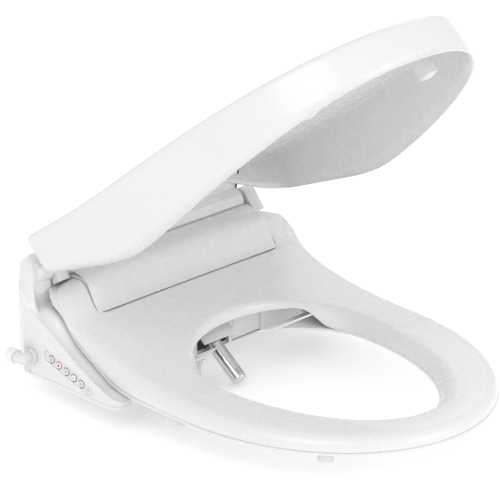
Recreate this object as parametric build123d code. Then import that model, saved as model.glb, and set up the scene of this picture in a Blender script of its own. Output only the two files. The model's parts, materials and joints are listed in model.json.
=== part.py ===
"""Electric bidet seat for an elongated toilet bowl, as an assembly of separate solids.

Frame: millimetres, +Z up, -Y towards the front of the bowl, +Y towards the tank.
Origin: centre between the two seat bolts, on the plane of the bowl's rim.
Rest pose: seat down, lid part open, spray nozzle run out.
"""
import os
from math import atan2, cos, degrees, pi, radians, sin

from build123d import *

os.makedirs("parts", exist_ok=True)

# ---- driving dimensions ------------------------------------------------------------------
WALL = 3.0                       # moulded wall of the casings
RIM_GAP = 0.4                    # gap between separate mouldings

BODY_LEFT, BODY_RIGHT = -206.0, 187.0
BODY_REAR = 52.0
WING_TIP, RIGHT_TIP = -130.0, -108.0
BAY_FACE = -82.0                 # front wall of the nozzle bay
BAY_TOP = 34.0
BLOCK_HALF = 143.0               # half width of the raised middle block
TRAY_TOP = 4.5                   # parting line between the tray and the casing

AXIS_Y, AXIS_Z = 33.0, 115.0     # common hinge line of seat and lid
TOWER_IN, TOWER_OUT, TOWER_R = 166.0, 187.0, 17.0
BRACKET_THICK, BRACKET_R = 3.5, 11.0   # right-hand carrier of the hinge shaft
RIGHT_REAR_TOP = 88.0            # rear block on the right, hidden behind the seat
SHAFT_R = 6.0
SHAFT_BORE = 6.05
SHAFT_INNER = 112.0              # where each shaft starts, from the middle

SEAT_HALF, SEAT_MID, SEAT_TIP = 190.0, -229.0, -455.0
SEAT_REAR = 18.0
SEAT_FLAT = 12.5                 # height of the ring's underside above the rim
HOLE_HALF, HOLE_MID, HOLE_FRONT, HOLE_REAR = 124.0, -205.0, -407.0, -99.0
NOTCH_HALF, NOTCH_FRONT = 145.0, -37.5

LID_HALF, LID_MID, LID_TIP = 196.0, -188.0, -480.0
LID_REAR = 7.0
LID_WALL = 3.0
LID_OPEN = 46.7                  # degrees from closed at rest

NOZZLE_X = -16.0
NOZZLE_SLOPE = 36.0              # degrees below the horizontal
NOZZLE_R = 9.0
NOZZLE_TIP_Y, NOZZLE_TIP_Z = -133.6, -20.7
NOZZLE_LENGTH = 100.0
GUIDE_GAP = 0.05                 # radial running clearance of sliding and turning fits

BUTTON_R, BUTTON_TRAVEL = 3.6, 1.2
BUTTON_COUNT = 5
BUTTON_FIRST = (-24.0, 31.0)     # y, z of the rearmost button
BUTTON_STEP = (-12.4, -3.6)

PLATE_SLOT_PITCH = 140.0         # seat-bolt spacing
PLATE_SLOT_W, PLATE_SLOT_L = 12.0, 30.0

# side profiles as (y, z): the crest of the wing, the seat's upper and lower faces, the lid's two edges
WING_CREST = [(52, 104), (42, 102), (26, 86), (0, 67), (-38, 44), (-66, 30), (-92, 20), (-118, 11),
              (-130, 9)]
SEAT_EAR = [(18, 98), (8, 104), (-2, 105), (-12, 99), (-20, 90), (-28, 80), (-37.5, 73)]
SEAT_RING = [(-60, 63), (-99, 50.5), (-140, 42), (-205, 35), (-300, 33), (-455, 31)]
SEAT_UPPER = SEAT_EAR + SEAT_RING
SEAT_LOWER = [(18, 92), (0, 90), (-10, 84), (-20, 76), (-30, 64), (-40, 53), (-53, 44), (-69, 36),
              (-86, 27), (-102, 19), (-118, 15), (-140, SEAT_FLAT), (-455, SEAT_FLAT)]
LID_UPPER = [(7, 150), (-50, 137), (-100, 126), (-200, 109), (-300, 94), (-400, 79), (-480, 66)]
LID_LOWER = [(7, 98), (-60, 68), (-128, 38), (-152, 30), (-200, 25), (-280, 21.5), (-380, 20), (-480, 21)]

NODES = {}


# ---- helpers -----------------------------------------------------------------------------
def closed_face(*curves):
    """Face inside curves that follow each other end to end."""
    return Face(Wire([edge for curve in curves for edge in curve.edges()]))


def side_prism(points, x0, x1):
    """Closed side profile of (y, z) points, drawn straight between them, from x0 to x1."""
    face = make_face(Polyline(*points, close=True))
    return Pos(x0, 0, 0) * extrude(Plane.YZ * face, amount=x1 - x0, dir=(1, 0, 0))


def side_band(upper, lower, x0, x1, smooth=False):
    """Side profile between an upper and a lower edge, both listed from rear to front."""
    top = Spline(*upper) if smooth else Polyline(*upper)
    bottom = Polyline(*lower)
    face = closed_face(top, Line(upper[-1], lower[-1]), bottom, Line(upper[0], lower[0]))
    return Pos(x0, 0, 0) * extrude(Plane.YZ * face, amount=x1 - x0, dir=(1, 0, 0))


def plan_prism(face, z0, z1):
    return Pos(0, 0, z0) * extrude(face, amount=z1 - z0, dir=(0, 0, 1))


def rod_x(x0, x1, y, z, r):
    """Round bar along X."""
    return Pos((x0 + x1) / 2, y, z) * Rot(0, 90, 0) * Cylinder(r, x1 - x0)


def rod_y(y0, y1, x, z, r):
    return Pos(x, (y0 + y1) / 2, z) * Rot(90, 0, 0) * Cylinder(r, y1 - y0)


def rod_z(z0, z1, x, y, r):
    return Pos(x, y, (z0 + z1) / 2) * Cylinder(r, z1 - z0)


def block(x0, x1, y0, y1, z0, z1):
    return Pos((x0 + x1) / 2, (y0 + y1) / 2, (z0 + z1) / 2) * Box(x1 - x0, y1 - y0, z1 - z0)


def both_sides(part):
    return Compound([part, mirror(part, about=Plane.YZ)])


def solids_of(shape):
    return Compound(list(shape.solids()))


def shifted(points, dy=0.0, dz=0.0):
    return [(y + dy, z + dz) for y, z in points]


def lid_open(part):
    """Turn a piece drawn with the lid closed to the lid's rest angle."""
    return Pos(0, AXIS_Y, AXIS_Z) * Rot(-LID_OPEN, 0, 0) * Pos(0, -AXIS_Y, -AXIS_Z) * part


def along_nozzle(part):
    """Place a piece drawn with +Z along the nozzle's travel and its origin at the nozzle's tip."""
    return Pos(NOZZLE_X, NOZZLE_TIP_Y, NOZZLE_TIP_Z) * Rot(90 + NOZZLE_SLOPE, 0, 0) * part


def button_place(index):
    return BUTTON_FIRST[0] + index * BUTTON_STEP[0], BUTTON_FIRST[1] + index * BUTTON_STEP[1]


def superellipse(half, reach, power, count):
    """Quarter outline from the widest point to the tip, as (x, -y) pairs."""
    pts = []
    for i in range(count + 1):
        t = pi / 2 * i / count
        pts.append((half * cos(t) ** (2 / power), reach * sin(t) ** (2 / power)))
    return pts


# ---- housing -----------------------------------------------------------------------------
def body_plan(inset):
    """Outline of the housing seen from above, with the two wings that flank the bowl opening."""
    left, right, rear = BODY_LEFT + inset, BODY_RIGHT - inset, BODY_REAR - inset
    tip, right_tip, face = WING_TIP + inset, RIGHT_TIP + inset, BAY_FACE + inset
    pts = [(left, 24), (-188 + inset, rear), (172 - inset, rear), (right, 30), (right, right_tip + 14),
           (right - 12, right_tip), (right - 28, right_tip), (140 - inset, face), (-150 + inset, face),
           (-168 - inset, tip + 14), (-182, tip), (left + 8, tip), (left, tip + 10)]
    return make_face(Polyline(*pts, close=True))


def body_solid(inset, floor):
    """The housing as a solid, each outer face moved in by inset, standing on the height floor."""
    crest = shifted(WING_CREST, 0, -inset)
    outer = side_band(crest, [(52, floor), (0, floor), (-130, floor)], BODY_LEFT + inset, -192, smooth=True)
    pocket = [(22 + inset, 99 - inset), (20.5 + inset, 50 - inset), (0, 50 - inset), (-38, 36 - inset),
              (-66, 22 - inset), (-92, 12.5 - inset), (-130, 8.6 - inset)]
    base_line = [(52, floor), (0, floor), (-130, floor)]
    split = -BLOCK_HALF + 10 - inset
    low = side_band([(52, 99 - inset)] + pocket, base_line, -192.5, split)
    right_top = RIGHT_REAR_TOP - inset
    right_line = [(52, right_top), (22 + inset, right_top)] + pocket[1:]
    low += side_band(right_line, base_line, split, BODY_RIGHT - inset)
    middle = side_prism([(BODY_REAR, floor), (BODY_REAR, 96 - inset), (17 - inset, 96 - inset),
                         (15 - inset, 106 - inset),
                         (-10, 106 - inset), (-31 + inset, 71 - inset), (-36 + inset, 65 - inset),
                         (-60, 50 - inset), (BAY_FACE, BAY_TOP - inset), (BAY_FACE, floor)],
                        -BLOCK_HALF + inset, BLOCK_HALF - inset)
    solid = outer + low + middle
    solid = solid & plan_prism(body_plan(inset), floor, 200)
    tower = rod_x(inset - TOWER_OUT, -TOWER_IN - inset, AXIS_Y, AXIS_Z, TOWER_R - inset)
    tower_foot = max(floor, 40)
    tower += block(inset - TOWER_OUT, -TOWER_IN - inset, 22 + inset, BODY_REAR - 2 - inset, tower_foot,
                   AXIS_Z)
    return solid + tower


outer_body = body_solid(0.0, 0.0)
inner_body = body_solid(WALL, -1.0)
shell = outer_body - inner_body

gate_opening = block(-38.5, 12.5, BAY_FACE - 2, BAY_FACE + WALL + 1, 4.8, 32)
door_opening = block(17.5, 64.5, BAY_FACE - 2, BAY_FACE + WALL + 1, 4.8, 32)
tower_bore = rod_x(4 - TOWER_OUT, 1 - TOWER_IN, AXIS_Y, AXIS_Z, SHAFT_BORE)
bracket = rod_x(BLOCK_HALF - BRACKET_THICK, BLOCK_HALF, AXIS_Y, AXIS_Z, BRACKET_R)
bracket += block(BLOCK_HALF - BRACKET_THICK, BLOCK_HALF, AXIS_Y - BRACKET_R, AXIS_Y + BRACKET_R, 90, AXIS_Z)
bracket -= rod_x(BLOCK_HALF - BRACKET_THICK - 1, BLOCK_HALF + 1, AXIS_Y, AXIS_Z, SHAFT_BORE)
gland_bore = rod_y(BODY_REAR - 5, BODY_REAR + 1, 150, 22, 8.05)
inlet_bore = rod_x(BODY_LEFT - 1, BODY_LEFT + 5, 9, 25, 7.5)

panel_mid = (-51.5, 23.0)
panel_angle = degrees(atan2(-BUTTON_STEP[1], -BUTTON_STEP[0]))


def panel_slot(length, width, depth, x_out):
    """Rounded bar on the left wall along the row of buttons, from x_out inwards by depth."""
    face = Plane.YZ * Pos(panel_mid[0], panel_mid[1]) * Rot(0, 0, panel_angle) * SlotOverall(length, width)
    return Pos(x_out, 0, 0) * extrude(face, amount=depth, dir=(1, 0, 0))


panel_recess = panel_slot(84.0, 13.6, 1.6, BODY_LEFT - 0.1)
button_bores = Part() + [rod_x(BODY_LEFT - 1, BODY_LEFT + 5, *button_place(i), BUTTON_R + 0.3)
                         for i in range(BUTTON_COUNT)]

cut_plane = block(-300, 300, -300, 300, -5, TRAY_TOP)
upper_cuts = Part() + [gate_opening, door_opening, gland_bore, inlet_bore, panel_recess, button_bores]
upper_cuts += tower_bore
nozzle_path = along_nozzle(Pos(0, 0, -95) * Cylinder(NOZZLE_R + 0.8, 170))
casing = shell - cut_plane - upper_cuts - nozzle_path + bracket

tray_wall = (shell & block(-300, 300, -300, 300, 0, TRAY_TOP - RIM_GAP))
tray_floor = plan_prism(body_plan(WALL - 0.1), 0, 3.0)
plate_recess = block(-96, 96, -34, 30, -1, 3.2)
tray = tray_wall + tray_floor - plate_recess - gate_opening - door_opening
screw_spots = [(-180, -40), (-175, 34), (165, 34), (160, -40), (-45, 42), (45, 42)]
for sx, sy in screw_spots:
    tray += rod_z(2, 14, sx, sy, 4.5)
    tray -= rod_z(-1, 15, sx, sy, 1.6) + rod_z(-1, 0.8, sx, sy, 3.5)
NODES["base_tray"] = tray
NODES["body_casing"] = casing

# raised cover in front of the hinge line, between the seat's two ears
cover_line = [(-35.5, 73), (-30, 83), (-15, 107.5), (-8, 111), (6, 112.5), (18, 113.2)]
cover_under = [(18, 106.4), (-10.2, 106.4), (-31.4, 71.2)]
hinge_cover = side_prism(cover_line + cover_under, -BLOCK_HALF, BLOCK_HALF)
NODES["hinge_cover"] = hinge_cover

# surround of the nozzle bay
fascia = block(-125, 125, BAY_FACE - 3, BAY_FACE - 0.2, 1.0, BAY_TOP - 0.5)
fascia -= block(-38.5, 12.5, BAY_FACE - 4, BAY_FACE + 1, 3.2, 31.8)
fascia -= block(17.5, 64.5, BAY_FACE - 4, BAY_FACE + 1, 3.2, 31.8)
FLAP_Y, FLAP_Z = BAY_FACE - 1.6, 29.6
fascia -= rod_x(-41, 67, FLAP_Y, FLAP_Z, 0.8)
NODES["bay_fascia"] = fascia

# rubber pads under the tray
pad_spots = ((-170, -70), (-160, 20), (150, 20), (150, -60))
pads = [rod_z(0, 1.75, x, y, 9) for x, y in pad_spots]
for x, y in pad_spots:
    NODES["base_tray"] -= rod_z(-1, 1.8, x, y, 9.1)
NODES["tray_pads"] = Compound(pads)

# screws that close the tray onto the casing
screws = [rod_z(0.5, 14, sx, sy, 1.6) + rod_z(0.1, 0.8, sx, sy, 3.4) for sx, sy in screw_spots]
NODES["tray_screws"] = Compound(screws)

# ---- mounting plate ----------------------------------------------------------------------
mount_plate = block(-95, 95, -33, 29, 0, 3.0)
for sign in (-1, 1):
    slot_face = Pos(sign * PLATE_SLOT_PITCH / 2, 0) * SlotOverall(PLATE_SLOT_L, PLATE_SLOT_W)
    mount_plate -= plan_prism(slot_face, -1, 4)
NODES["mounting_plate"] = mount_plate

# ---- control panel on the left wall ------------------------------------------------------
panel = panel_slot(83.0, 12.6, 1.2, BODY_LEFT + 0.2)
for index in range(BUTTON_COUNT):
    by, bz = button_place(index)
    panel -= rod_x(BODY_LEFT - 1, BODY_LEFT + 3, by, bz, BUTTON_R + 0.3)
window_y, window_z = BUTTON_FIRST[0] + 4.9 * BUTTON_STEP[0], BUTTON_FIRST[1] + 4.9 * BUTTON_STEP[1]
panel -= rod_x(BODY_LEFT - 1, BODY_LEFT + 3, window_y, window_z, 2.5)
NODES["panel_plate"] = panel
NODES["panel_window"] = rod_x(BODY_LEFT + 0.3, BODY_LEFT + 1.4, window_y, window_z, 2.5)
BUTTON_NAMES = ["stop", "rear_wash", "front_wash", "warm_air", "power"]
for index, name in enumerate(BUTTON_NAMES):
    by, bz = button_place(index)
    cap = rod_x(BODY_LEFT - 1.0, BODY_LEFT + 4.6, by, bz, BUTTON_R)
    cap += rod_x(BODY_LEFT + 4.2, BODY_LEFT + 5.0, by, bz, BUTTON_R + 1.0)
    NODES["button_" + name] = cap
board_face = Plane.YZ * Pos(panel_mid[0], panel_mid[1]) * Rot(0, 0, panel_angle) * Rectangle(66, 9)
button_board = Pos(BODY_LEFT + 7.6, 0, 0) * extrude(board_face, amount=1.6, dir=(1, 0, 0))
for index in range(BUTTON_COUNT):
    by, bz = button_place(index)
    button_board += rod_x(BODY_LEFT + 6.6, BODY_LEFT + 7.7, by, bz, 2.4)
NODES["button_board"] = button_board

# ---- water inlet -------------------------------------------------------------------------
INLET_Y, INLET_Z = 9.0, 25.0
collar = rod_x(BODY_LEFT - 5, BODY_LEFT - 0.1, INLET_Y, INLET_Z, 8.6)
collar += rod_x(BODY_LEFT - 0.2, BODY_LEFT + 12, INLET_Y, INLET_Z, 7.5)
collar -= rod_x(BODY_LEFT - 6, BODY_LEFT + 13, INLET_Y, INLET_Z, 5.0 + GUIDE_GAP)
NODES["inlet_collar"] = collar
ELBOW_X, ELBOW_R = BODY_LEFT - 15, 6.6
NUT_START, NUT_END, NUT_R = INLET_Y + 11.0, INLET_Y + 21.6, 8.8
NUT_FLUTES = 12
elbow = rod_x(ELBOW_X, BODY_LEFT + 8, INLET_Y, INLET_Z, 5.0)
elbow += rod_x(ELBOW_X, BODY_LEFT - 5.4, INLET_Y, INLET_Z, ELBOW_R)
elbow += Pos(ELBOW_X, INLET_Y, INLET_Z) * Sphere(ELBOW_R)
elbow += rod_y(INLET_Y, NUT_START - 0.4, ELBOW_X, INLET_Z, ELBOW_R)
elbow += rod_y(NUT_START - 0.4, NUT_END + 2.4, ELBOW_X, INLET_Z, 5.0)
elbow += rod_y(NUT_END + 0.4, NUT_END + 2.4, ELBOW_X, INLET_Z, 6.2)
elbow -= rod_y(INLET_Y - 4, NUT_END + 3, ELBOW_X, INLET_Z, 3.5)
NODES["inlet_elbow"] = elbow
nut = rod_y(NUT_START, NUT_END, ELBOW_X, INLET_Z, NUT_R)
nut -= rod_y(NUT_START - 1, NUT_END + 1, ELBOW_X, INLET_Z, 5.0 + GUIDE_GAP)
for k in range(NUT_FLUTES):
    a = 2 * pi * k / NUT_FLUTES
    flute_x, flute_z = ELBOW_X + (NUT_R + 0.8) * cos(a), INLET_Z + (NUT_R + 0.8) * sin(a)
    nut -= rod_y(NUT_START - 1, NUT_END + 1, flute_x, flute_z, 1.5)
NODES["inlet_nut"] = nut
NODES["inlet_filter"] = rod_x(BODY_LEFT + 13, BODY_LEFT + 33, INLET_Y, INLET_Z, 7.0)
valve = block(-172, -140, -4, 22, 13, 37) + rod_z(37, 44, -156, 9, 9)
NODES["solenoid_valve"] = valve
NODES["power_inlet_gland"] = rod_y(BODY_REAR - 14, BODY_REAR + 3, 150, 22, 8.0) - rod_y(0, 90, 150, 22, 3.6)

# ---- water heater, pump and board --------------------------------------------------------
tank = block(-132, -58, -22, 38, 5, 70)
tank = fillet(tank.edges().filter_by(Axis.Z), 8)
NODES["heater_tank"] = tank
NODES["tank_heater_rod"] = rod_z(70, 84, -95, 8, 12)
pump = rod_y(-62, -34, -96, 18, 11) + block(-104, -88, -74, -61, 8, 26)
NODES["metering_pump"] = pump
NODES["main_board"] = block(56, 134, 45, 47, 10, 88)
NODES["transformer"] = block(62, 96, 20, 42, 6, 44)
deo_case = rod_y(20, 40, 118, 30, 17) - rod_y(22, 41, 118, 30, 14.5)
NODES["deodoriser_case"] = deo_case
deo_fan = rod_y(24, 38, 118, 30, 4)
for k in range(7):
    blade = Pos(8.6, 0, 0) * Box(9.4, 12, 1.2)
    deo_fan += Pos(118, 31, 30) * Rot(0, 360 * k / 7, 0) * blade
deo_fan -= rod_y(23, 39, 118, 30, 1.55)
NODES["deodoriser_fan"] = deo_fan
NODES["deodoriser_pin"] = rod_y(22, 40.5, 118, 30, 1.5)
NODES["carbon_cartridge"] = block(102, 134, -20, 14, 10, 40)

# ---- nozzle and its drive, drawn along the travel and then placed -------------------------
tube = Pos(0, 0, -NOZZLE_LENGTH / 2 - 3) * Cylinder(NOZZLE_R, NOZZLE_LENGTH - 6)
tube -= Pos(0, 0, -NOZZLE_LENGTH / 2 - 3) * Cylinder(NOZZLE_R - 1.0, NOZZLE_LENGTH)
NODES["nozzle_tube"] = along_nozzle(tube)
tip = Pos(0, 0, -3) * Cylinder(NOZZLE_R, 5.8) + Pos(0, 0, -8) * Cylinder(NOZZLE_R - 1.1, 8)
tip = fillet(tip.edges().sort_by(Axis.Z)[-1], 2.4)
NODES["nozzle_tip"] = along_nozzle(tip)
SCREW_X = -24.0                  # sideways offset of the drive screw from the nozzle
SCREW_R = 2.5
carriage = Pos(SCREW_X / 2, -4, -NOZZLE_LENGTH - 4) * Box(16 - SCREW_X, 14, 8)
carriage += Pos(0, 0, -NOZZLE_LENGTH + 4) * Cylinder(NOZZLE_R - 1, 8)
carriage -= Pos(SCREW_X, 0, -NOZZLE_LENGTH - 4) * Cylinder(SCREW_R + GUIDE_GAP, 12)
NODES["nozzle_carriage"] = along_nozzle(carriage)
NODES["drive_screw"] = along_nozzle(Pos(SCREW_X, 0, -133) * Cylinder(SCREW_R, 94))
motor = Pos(SCREW_X, 0, -80) * Cylinder(7, 11.8) - Pos(SCREW_X, 0, -80) * Cylinder(SCREW_R + GUIDE_GAP, 13)
NODES["stepper_motor"] = along_nozzle(motor)
cradle = Pos(0, 0, -82.5) * Cylinder(11, 9) - Pos(0, 0, -82.5) * Cylinder(NOZZLE_R + GUIDE_GAP, 12)
cradle += Pos(14, 0, -82.5) * Box(6.4, 8, 9)
NODES["nozzle_cradle"] = along_nozzle(cradle)

# ---- nozzle gate and warm-air door -------------------------------------------------------
GATE_OPEN = 52.0
FLAP_PIN_R = 0.8


def bay_flap(x0, x1, height, angle):
    """Flap that hangs from its pivot line behind the fascia, swung out by angle."""
    plate = block(x0, x1, FLAP_Y - 1.1, FLAP_Y + 1.1, FLAP_Z - height, FLAP_Z)
    plate += rod_x(x0, x1, FLAP_Y, FLAP_Z, 1.9)
    plate -= rod_x(x0 - 1, x1 + 1, FLAP_Y, FLAP_Z, FLAP_PIN_R + GUIDE_GAP)
    turn = Pos(0, FLAP_Y, FLAP_Z) * Rot(-angle, 0, 0) * Pos(0, -FLAP_Y, -FLAP_Z)
    return turn * plate


NODES["nozzle_gate"] = bay_flap(-37.6, 11.6, 17.0, GATE_OPEN)
NODES["warm_air_door"] = bay_flap(18.3, 63.7, 24.6, 0)
NODES["gate_pin"] = rod_x(-41, 14.5, FLAP_Y, FLAP_Z, FLAP_PIN_R)
NODES["door_pin"] = rod_x(15.5, 67, FLAP_Y, FLAP_Z, FLAP_PIN_R)

# ---- warm-air dryer ----------------------------------------------------------------------
duct = block(22, 60, -76, -30, 6, 28) - block(24, 58, -77, -29, 8, 26)
NODES["dryer_duct"] = duct
blower = rod_x(24, 56, 0, 36, 30) - rod_x(26, 57, 0, 36, 27.5)
blower -= block(20, 60, -40, -24, 8, 26) + rod_x(20, 28, 0, 36, 4)
NODES["blower_case"] = blower
wheel = rod_x(30, 32, 0, 36, 22) + rod_x(30, 50, 0, 36, 5)
for k in range(12):
    wheel += Pos(40, 0, 36) * Rot(30 * k, 0, 0) * Pos(0, 18, 0) * Box(18, 6, 1.4)
wheel -= rod_x(29, 51, 0, 36, 2.05)
NODES["blower_wheel"] = wheel
NODES["blower_motor"] = rod_x(10, 23.8, 0, 36, 14) + rod_x(23.8, 52, 0, 36, 2.0)
NODES["air_heater"] = block(26, 56, -60, -40, 9, 25)

# ---- hinge line --------------------------------------------------------------------------
shaft_spans = ((-182, -SHAFT_INNER), (SHAFT_INNER, 166))
shafts = [rod_x(x0, x1, AXIS_Y, AXIS_Z, SHAFT_R) for x0, x1 in shaft_spans]
NODES["hinge_shafts"] = Compound(shafts)

# ---- seat --------------------------------------------------------------------------------
def seat_plan(inset):
    half, tip = SEAT_HALF - inset, SEAT_TIP + inset
    rear = SEAT_REAR - inset
    front = EllipticalCenterArc((0, SEAT_MID), half, SEAT_MID - tip, 180, arc_size=180)
    right = Spline((half, SEAT_MID), (half - 1.5, -120), (half - 4, -30), (half - 6, rear - 16),
                   tangents=((0, 1), (-0.15, 1)))
    back = Polyline((half - 6, rear - 16), (half - 18, rear), (-half + 18, rear), (-half + 6, rear - 16))
    left = Spline((-half + 6, rear - 16), (-half + 4, -30), (-half + 1.5, -120), (-half, SEAT_MID),
                  tangents=((-0.15, -1), (0, -1)))
    return closed_face(front, right, back, left)


def hole_plan(grow):
    half = HOLE_HALF + grow
    front = EllipticalCenterArc((0, HOLE_MID), half, HOLE_MID - HOLE_FRONT + grow, 180, arc_size=180)
    rear = EllipticalCenterArc((0, HOLE_MID), half, HOLE_REAR - HOLE_MID + grow, 0, arc_size=180)
    return closed_face(front, rear)


def seat_block(inset, drop, rise):
    band = side_band(shifted(SEAT_UPPER, 0, -drop), shifted(SEAT_LOWER, 0, rise), -200, 200)
    ring = band & (plan_prism(seat_plan(inset), 0, 130) - plan_prism(hole_plan(inset), -1, 131))
    notch = NOTCH_HALF + inset
    return ring - block(-notch, notch, NOTCH_FRONT - inset, 60, -5, 140)


PLATE_THICK = 3.0
FUNNEL = 9.0                     # how far the bottom plate reaches into the opening
RELIEF_HALF = 144.5
LIP_HALF = 128.0                 # half width of the thin lip over the nozzle bay
deck_relief = side_prism([(-88, 0), (-88, 38), (-60, 53), (-36, 66.5), (-30, 66.5), (-30, 0)],
                         -RELIEF_HALF, RELIEF_HALF)
deck_relief += block(-LIP_HALF, LIP_HALF, -112, -87, -5, 38)
deck_relief += block(-LIP_HALF, LIP_HALF, -121, -111, -5, 18)
seat_outer = seat_block(0.0, 0.0, 0.0) - deck_relief
seat_skin = seat_block(0.0, 0.0, PLATE_THICK + 0.02)
seat_cavity = seat_block(4.0, 5.0, -4.0)
lid_rib_zone = plan_prism(hole_plan(16), -1, 140)
seat_top = seat_skin - (seat_cavity - lid_rib_zone) - deck_relief
bottom_band = side_band(shifted(SEAT_LOWER, 0, PLATE_THICK), SEAT_LOWER, -200, 200)
seat_bottom = bottom_band & (plan_prism(seat_plan(0), 0, 130) - plan_prism(hole_plan(-FUNNEL), -1, 131))
seat_bottom = seat_bottom - block(-NOTCH_HALF, NOTCH_HALF, NOTCH_FRONT, 60, -5, 140) - deck_relief
knuckles = []
for sign in (-1, 1):
    x0, x1 = sorted((sign * 147.5, sign * 164.5))
    arm = rod_x(x0, x1, AXIS_Y, AXIS_Z, 12.5)
    arm += side_prism([(4, 93), (4, 99), (24, 124), (33, 127.4), (33, 102.6), (24, 102.6), (17, 96),
                       (17, 93)], x0, x1)
    arm -= rod_x(x0 - 1, x1 + 1, AXIS_Y, AXIS_Z, SHAFT_BORE)
    knuckles.append(arm)
seat_knuckles = Compound([k - seat_outer for k in knuckles])
NODES["seat_top"] = seat_top
NODES["seat_bottom"] = seat_bottom
NODES["seat_hinge_arms"] = seat_knuckles
foil_band = side_band(shifted(SEAT_RING, 0, -6.2), shifted(SEAT_RING, 0, -7.0), -175, 175)
heater = plan_prism(seat_plan(20) - hole_plan(20), 0, 120) & foil_band
heater -= block(-150, 150, -112, 60, 0, 140)
bumper_spots = [(-176, -198), (176, -198), (-126, -374), (126, -374)]
bumpers = [rod_z(0, SEAT_FLAT - 0.05, x, y, 9) for x, y in bumper_spots]
NODES["seat_bumpers"] = Compound(bumpers)
seat_screw_spots = ((-158, -250), (158, -250), (-60, -430), (60, -430))
seat_screws = [rod_z(SEAT_FLAT + 0.4, 26, x, y, 1.6) for x, y in seat_screw_spots]
NODES["seat_screws"] = Compound(seat_screws)
for x, y in seat_screw_spots:
    heater -= rod_z(0, 60, x, y, 5.5)
    NODES["seat_bottom"] -= rod_z(10, 16, x, y, 1.6)
    NODES["seat_top"] += rod_z(SEAT_FLAT + 3.02, 30, x, y, 4.5) - rod_z(SEAT_FLAT + 2, 26.5, x, y, 1.6)
NODES["seat_heater_foil"] = heater

# ---- lid ---------------------------------------------------------------------------------
def lid_plan(inset, rear):
    half = LID_HALF - inset
    quarter = superellipse(half, LID_MID - LID_TIP - inset, 2.25, 8)
    right = [(x, LID_MID - dy) for x, dy in quarter]
    left = [(-x, y) for x, y in reversed(right)][1:]
    nose = Spline(*(right + left), tangents=((0, -1), (0, 1)))
    sides = Polyline((-half, LID_MID), (-half, rear), (half, rear), (half, LID_MID))
    return closed_face(nose, sides)


BARREL_R = 14.0
lid_band = side_band(LID_UPPER, LID_LOWER, -LID_HALF - 1, LID_HALF + 1, smooth=True)
lid_solid = lid_band & plan_prism(lid_plan(0, LID_REAR), 0, 200)
inner_upper, inner_lower = shifted(LID_UPPER, 0, -LID_WALL), [(y, -20) for y, z in LID_LOWER]
lid_hollow = side_band(inner_upper, inner_lower, -LID_HALF, LID_HALF, smooth=True)
lid_hollow = lid_hollow & plan_prism(lid_plan(LID_WALL, LID_REAR - LID_WALL), -30, 200)
lid_shell = lid_solid - lid_hollow
rear_opening = block(-LID_HALF + LID_WALL, LID_HALF - LID_WALL, 0, 12, 60, 134)
lid_shell -= rear_opening
NODES["lid_shell"] = lid_open(lid_shell)
arms = []
for sign in (-1, 1):
    x0, x1 = sorted((sign * 112, sign * 138))
    arm = rod_x(x0, x1, AXIS_Y, AXIS_Z, BARREL_R)
    arm += side_prism([(AXIS_Y - 2, AXIS_Z + 13.9), (AXIS_Y - 13.4, AXIS_Z + 2), (4, 126), (-30, 130),
                       (-30, 139), (4, 146.8)], x0, x1)
    arm -= rod_x(x0 - 1, x1 + 1, AXIS_Y, AXIS_Z, SHAFT_BORE)
    arms.append(arm - lid_shell)
NODES["lid_hinge_arms"] = lid_open(Compound(arms))
barrel = rod_x(-111, 111, AXIS_Y, AXIS_Z, BARREL_R) - rod_x(-112, 112, AXIS_Y, AXIS_Z, BARREL_R - 3)
barrel_web = [(AXIS_Y, AXIS_Z + 13.8), (AXIS_Y + 4, AXIS_Z + 13.2), (7.1, 149.5), (7.1, 146.5)]
barrel += side_prism(barrel_web, -111, 111)
NODES["lid_barrel"] = lid_open(barrel)
lid_pads = [block(x - 9, x + 9, -396, -378, 32.5, 90) for x in (-92, 92)]
NODES["lid_bumpers"] = lid_open(Compound([(pad & lid_hollow) for pad in lid_pads]))
DAMPER_R = BARREL_R - 3.0 - GUIDE_GAP
NODES["lid_damper"] = rod_x(-110.5, -60, AXIS_Y, AXIS_Z, DAMPER_R) + rod_x(-112, -110, AXIS_Y, AXIS_Z, 5.5)
NODES["seat_damper"] = rod_x(60, 110.5, AXIS_Y, AXIS_Z, DAMPER_R) + rod_x(110, 112, AXIS_Y, AXIS_Z, 5.5)

for node_name, node in NODES.items():
    export_step(node if isinstance(node, Compound) and len(node.solids()) == 1 else solids_of(node),
                f"parts/{node_name}.step")
    print(node_name, len(node.solids()), round(node.volume))
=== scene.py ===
# %% [markdown]
# An electric bidet seat: a housing at the rear with a side wing of buttons, a heated seat ring, a lid,
# and a nozzle bay under the rear lip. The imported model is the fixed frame. The large mouldings are
# modelled here as smooth shells on top of it, and the small fittings get rounded edges.

import json
from math import cos, pi, radians, sin

import bmesh
import bpy
from mathutils import Matrix, Vector


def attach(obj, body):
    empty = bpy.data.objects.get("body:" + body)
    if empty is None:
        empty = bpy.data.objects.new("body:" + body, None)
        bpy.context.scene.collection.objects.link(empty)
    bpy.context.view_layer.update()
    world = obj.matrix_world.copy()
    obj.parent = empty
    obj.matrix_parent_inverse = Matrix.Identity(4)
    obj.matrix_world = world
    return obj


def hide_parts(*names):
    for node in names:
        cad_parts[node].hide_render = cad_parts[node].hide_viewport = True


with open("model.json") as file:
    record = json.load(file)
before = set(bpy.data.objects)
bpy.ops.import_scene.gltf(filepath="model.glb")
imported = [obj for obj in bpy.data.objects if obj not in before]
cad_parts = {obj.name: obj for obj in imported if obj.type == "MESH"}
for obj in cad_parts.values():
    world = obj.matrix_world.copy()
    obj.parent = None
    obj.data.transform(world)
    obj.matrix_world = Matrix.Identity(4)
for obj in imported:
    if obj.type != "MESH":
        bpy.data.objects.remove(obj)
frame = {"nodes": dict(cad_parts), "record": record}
record = frame["record"]
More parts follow.
